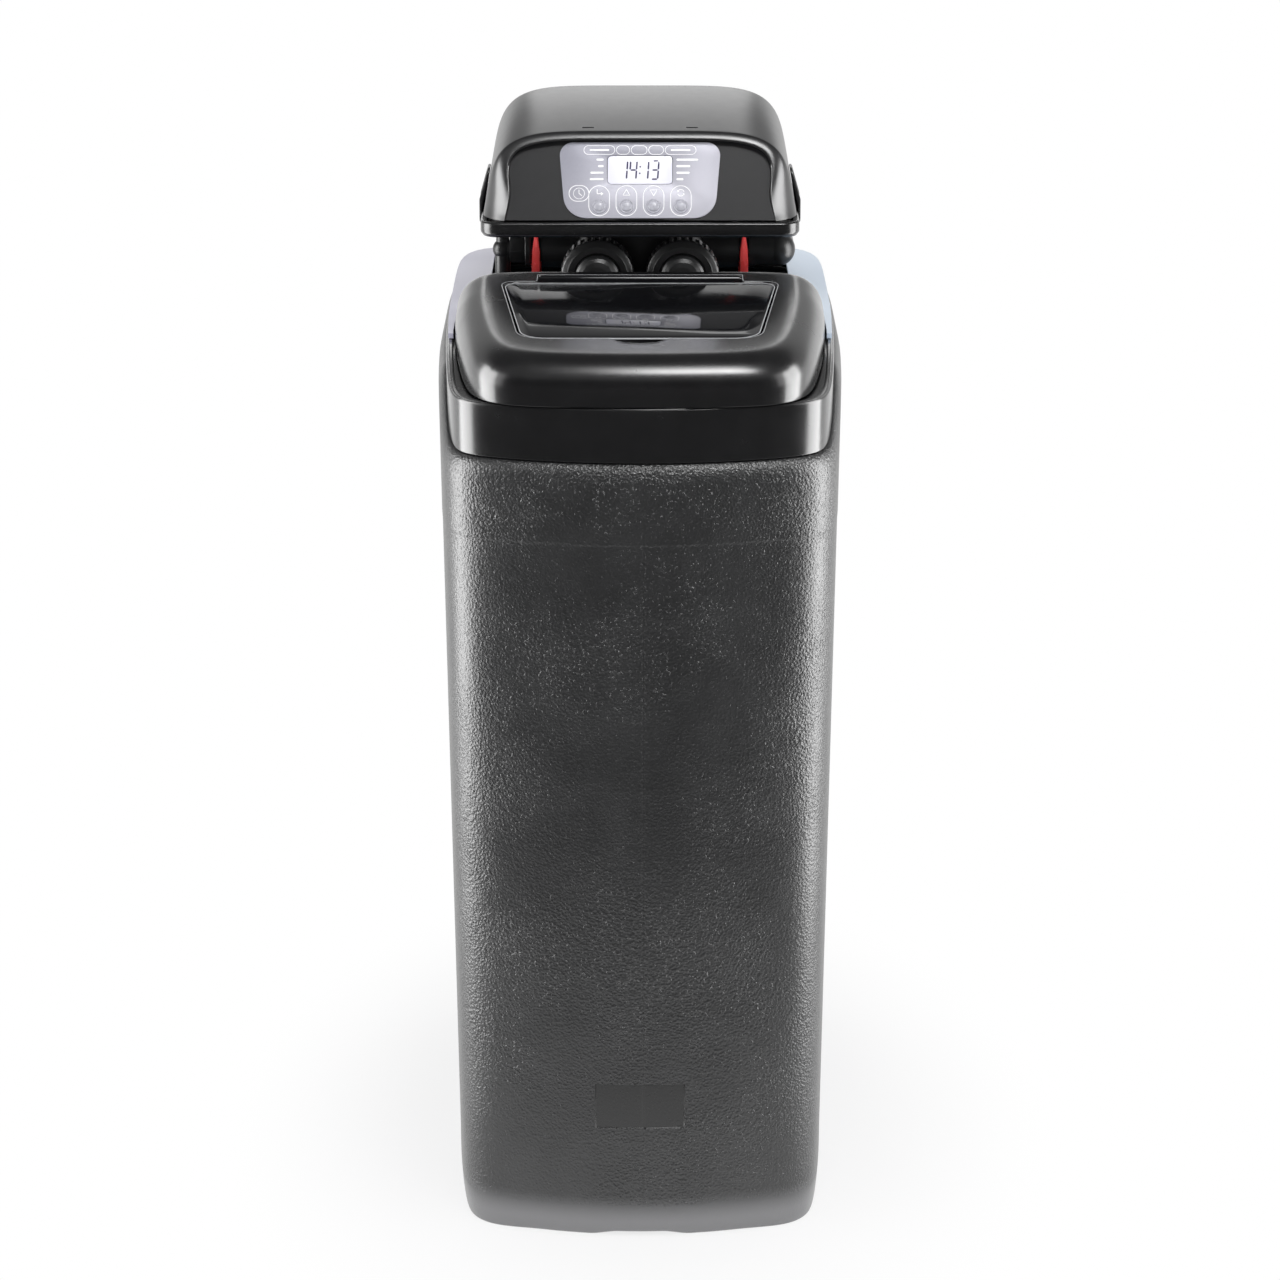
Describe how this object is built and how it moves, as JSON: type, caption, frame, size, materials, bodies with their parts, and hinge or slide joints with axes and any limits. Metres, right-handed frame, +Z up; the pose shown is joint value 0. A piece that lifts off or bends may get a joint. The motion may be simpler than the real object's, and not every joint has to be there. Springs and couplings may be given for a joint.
{
  "type": "water softener",
  "caption": "Slim cabinet water softener: grained brine cabinet, lift-off salt lid with hinged window flap, resin tank and electronic control valve with bypass.",
  "frame": {"origin": "centre of the cabinet's flat base, on the floor", "axes": "+Z up, +X to the right seen from the front, the display faces -Y"},
  "size_m": [0.24, 0.4385, 0.6262],
  "materials": {
    "cabinet": "grained satin",
    "gloss_black": "polished",
    "black_cover": "fine satin",
    "black_plastic": "moulded",
    "deck": "polished",
    "smoked": "smoked clear",
    "tank": "wound fibre with gel coat",
    "resin": "beads",
    "white_plastic": "moulded",
    "grey_plastic": "moulded",
    "red_plastic": "moulded",
    "label": "printed film",
    "display": "display window",
    "button": "soft domed",
    "board": "solder mask",
    "hose": "smooth",
    "rubber": "matt",
    "steel": "plain",
    "brass": "turned"
  },
  "bodies": {
    "cabinet": {"cabinet_shell": "cabinet", "lid_frame": "gloss_black", "rear_deck": "deck", "resin_tank": "tank", "tank_boot": "black_plastic", "resin_bed": "resin", "riser_tube": "white_plastic", "bottom_strainer": "white_plastic", "top_basket": "white_plastic", "valve_body": "black_plastic", "spacer_stack": "white_plastic", "drive_cap": "black_plastic", "drive_bracket": "black_plastic", "motor": "steel", "control_board": "board", "base_tray": "black_cover", "valve_hood": "black_cover", "hood_latches": "black_cover", "back_plate": "black_plastic", "front_fascia": "black_cover", "panel_label": "label", "lcd_screen": "display", "meter_nut": "black_plastic", "meter_body": "black_plastic", "plug_nut": "black_plastic", "meter_plug": "black_plastic", "brine_elbow": "black_plastic", "brine_nut": "black_plastic", "brine_clip": "red_plastic", "drain_elbow": "black_plastic", "drain_clip": "red_plastic", "brine_line": "hose", "brine_well": "white_plastic", "well_cap": "white_plastic", "pickup_tube": "white_plastic", "air_check": "grey_plastic", "coupling_nuts": "black_plastic", "bypass_body": "black_plastic", "bypass_caps": "black_plastic", "pipe_tails": "brass", "tail_nuts": "black_plastic", "overflow_spigot": "black_plastic", "overflow_nut": "black_plastic", "power_grommet": "rubber"},
    "lid": {"salt_lid": "gloss_black"},
    "flap": {"window_flap": "smoked"},
    "button_clock_body": {"button_clock": "button"},
    "button_up_body": {"button_up": "button"},
    "button_down_body": {"button_down": "button"},
    "button_regen_body": {"button_regen": "button"},
    "drive_gear_body": {"drive_gear": "white_plastic"},
    "idler_body": {"idler_gear": "white_plastic"},
    "motor_shaft": {"motor_pinion": "brass"},
    "piston_body": {"piston": "white_plastic"},
    "turbine": {"meter_turbine": "white_plastic"},
    "float": {"brine_float": "red_plastic"},
    "inlet_valve": {"inlet_rotor": "white_plastic", "inlet_handle": "red_plastic"},
    "outlet_valve": {"outlet_rotor": "white_plastic", "outlet_handle": "red_plastic"}
  },
  "joints": [
    {"name": "lid_lift", "type": "slide", "parent": "cabinet", "child": "lid", "axis": [0, 0, 1], "range_m": [0, 0.16]},
    {"name": "flap_hinge", "type": "hinge", "parent": "lid", "child": "flap", "pos_m": [0, -0.02684, 0.53689], "axis": [-1, 0, 0], "range_deg": [0, 100]},
    {"name": "press_clock", "type": "slide", "parent": "cabinet", "child": "button_clock_body", "axis": [0, 0.9063, -0.4226], "range_m": [0, 0.0008], "stiffness_N_per_m": 600},
    {"name": "press_up", "type": "slide", "parent": "cabinet", "child": "button_up_body", "axis": [0, 0.9063, -0.4226], "range_m": [0, 0.0008], "stiffness_N_per_m": 600},
    {"name": "press_down", "type": "slide", "parent": "cabinet", "child": "button_down_body", "axis": [0, 0.9063, -0.4226], "range_m": [0, 0.0008], "stiffness_N_per_m": 600},
    {"name": "press_regen", "type": "slide", "parent": "cabinet", "child": "button_regen_body", "axis": [0, 0.9063, -0.4226], "range_m": [0, 0.0008], "stiffness_N_per_m": 600},
    {"name": "drive_spin", "type": "hinge", "parent": "cabinet", "child": "drive_gear_body", "pos_m": [0, 0.044, 0.588], "axis": [0, 1, 0], "range_deg": [0, 720]},
    {"name": "idler_spin", "type": "hinge", "parent": "cabinet", "child": "idler_body", "pos_m": [0.023, 0.041, 0.588], "axis": [0, 1, 0], "range_deg": [-2592, 0]},
    {"name": "motor_spin", "type": "hinge", "parent": "cabinet", "child": "motor_shaft", "pos_m": [0.03856, 0.0385, 0.5771], "axis": [0, 1, 0], "range_deg": [0, 7257.6]},
    {"name": "piston_slide", "type": "slide", "parent": "cabinet", "child": "piston_body", "axis": [0, 1, 0], "range_m": [0, 0.018]},
    {"name": "turbine_spin", "type": "hinge", "parent": "cabinet", "child": "turbine", "pos_m": [0.0255, 0.047, 0.531], "axis": [0, 1, 0], "continuous": true},
    {"name": "float_rise", "type": "slide", "parent": "cabinet", "child": "float", "axis": [0, 0, 1], "range_m": [0, 0.08]},
    {"name": "inlet_turn", "type": "hinge", "parent": "cabinet", "child": "inlet_valve", "pos_m": [-0.0255, 0.166, 0.531], "axis": [0, 0, 1], "range_deg": [0, 90]},
    {"name": "outlet_turn", "type": "hinge", "parent": "cabinet", "child": "outlet_valve", "pos_m": [0.0255, 0.166, 0.531], "axis": [0, 0, 1], "range_deg": [0, 90]}
  ],
  "couplings": [
    {"joint": "idler_spin", "follows": "drive_spin", "ratio": -3.6},
    {"joint": "motor_spin", "follows": "drive_spin", "ratio": 10.08},
    {"joint": "piston_slide", "follows": "drive_spin", "m_per_rad": 0.0014324}
  ]
}
